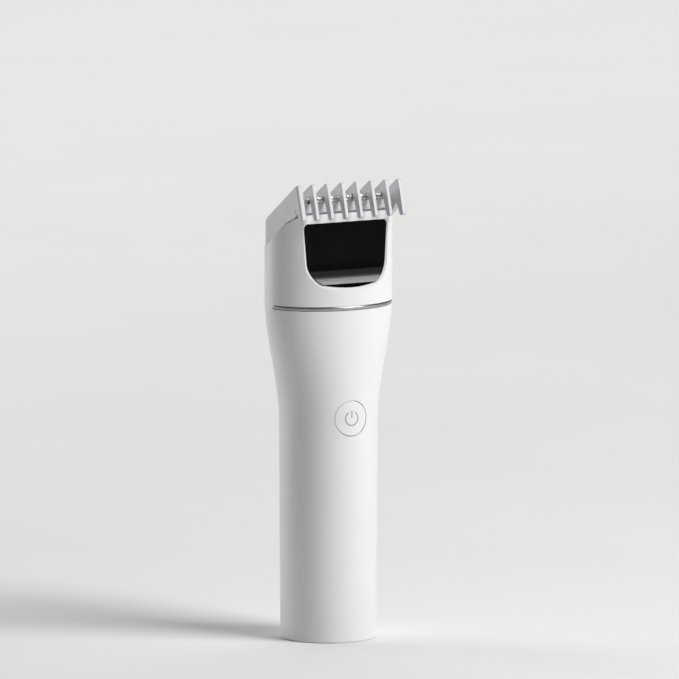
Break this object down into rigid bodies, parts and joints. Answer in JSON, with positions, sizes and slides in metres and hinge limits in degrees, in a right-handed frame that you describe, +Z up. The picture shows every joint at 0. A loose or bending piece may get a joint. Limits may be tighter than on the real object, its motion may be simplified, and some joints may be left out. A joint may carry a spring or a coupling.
{
  "type": "cordless hair clipper",
  "caption": "Slim upright cordless hair clipper: round handle flaring to an oval head, slanted blade set, clip-on guide comb, round power button.",
  "frame": {"origin": "centre of the flat base that the clipper stands on", "axes": "+Z up along the handle, -Y to the front with the button and the window, +X to the right seen from the front"},
  "size_m": [0.0502, 0.0402, 0.1741],
  "materials": {
    "white_shell": "satin moulded ABS",
    "comb_white": "satin moulded nylon",
    "carrier_grey": "light grey moulded plastic",
    "button_white": "satin, slightly lighter than the shell",
    "chrome_trim": "polished",
    "black_gloss": "piano black",
    "black_plastic": "moulded",
    "inner_plastic": "dark grey structural plastic",
    "port_metal": "stamped",
    "blade_steel": "ground",
    "blade_ceramic": "fine ground",
    "screw_steel": "zinc plated",
    "motor_steel": "drawn",
    "magnet": "ferrite",
    "bronze": "sintered bronze",
    "nickel": "nickel strip",
    "copper_core": "lacquered copper on steel laminations",
    "circuit_board": "green solder mask",
    "cell_sleeve": "blue shrink sleeve",
    "lead_red": "wire insulation",
    "seal_rubber": "moulded silicone",
    "led": "chip LED",
    "clear_pipe": "translucent"
  },
  "bodies": {
    "body": {"handle_shell": "white_shell", "head_housing": "white_shell", "chrome_strip": "chrome_trim", "window_insert": "black_gloss", "base_cap": "white_shell", "charge_socket": "port_metal", "charge_tongue": "black_plastic", "socket_board": "circuit_board", "charge_led": "led", "light_pipe": "clear_pipe", "main_board": "circuit_board", "switch_body": "black_plastic", "board_chips": "black_plastic", "chassis_front": "inner_plastic", "chassis_rear": "inner_plastic", "chassis_screws": "screw_steel", "battery_cell": "cell_sleeve", "battery_tabs": "nickel", "battery_leads": "lead_red", "motor_can": "motor_steel", "motor_end_cap": "black_plastic", "motor_magnets": "magnet", "motor_bushings": "bronze", "motor_terminals": "bronze", "motor_leads": "lead_red", "motor_bracket": "inner_plastic", "motor_screws": "screw_steel", "seam_seal": "seal_rubber", "drive_deck": "inner_plastic", "drive_seal": "seal_rubber"},
    "button": {"power_button": "button_white", "switch_plunger": "black_plastic"},
    "rotor": {"motor_shaft": "motor_steel", "armature_core": "copper_core", "commutator": "bronze", "eccentric_cam": "bronze", "drive_pin": "motor_steel"},
    "blade_set": {"blade_carrier": "carrier_grey", "fixed_blade": "blade_steel", "blade_screws": "screw_steel", "pressure_spring": "blade_steel"},
    "cutter": {"moving_blade": "blade_ceramic", "cutter_follower": "inner_plastic"},
    "comb": {"guide_comb": "comb_white"}
  },
  "joints": [
    {"name": "button_press", "type": "slide", "parent": "body", "child": "button", "axis": [0, 1, 0], "range_m": [0, 0.0005], "stiffness_N_per_m": 800},
    {"name": "rotor_spin", "type": "hinge", "parent": "body", "child": "rotor", "pos_m": [0, 0, 0.1], "axis": [0, 0, 1], "continuous": true},
    {"name": "blade_set_tilt", "type": "hinge", "parent": "body", "child": "blade_set", "pos_m": [0, 0.0194, 0.14114], "axis": [-1, 0, 0], "range_deg": [0, 35]},
    {"name": "cutter_slide", "type": "slide", "parent": "blade_set", "child": "cutter", "axis": [1, 0, 0], "range_m": [-0.001, 0.001]},
    {"name": "comb_lift", "type": "slide", "parent": "blade_set", "child": "comb", "axis": [0, 0, 1], "range_m": [0, 0.02]}
  ]
}
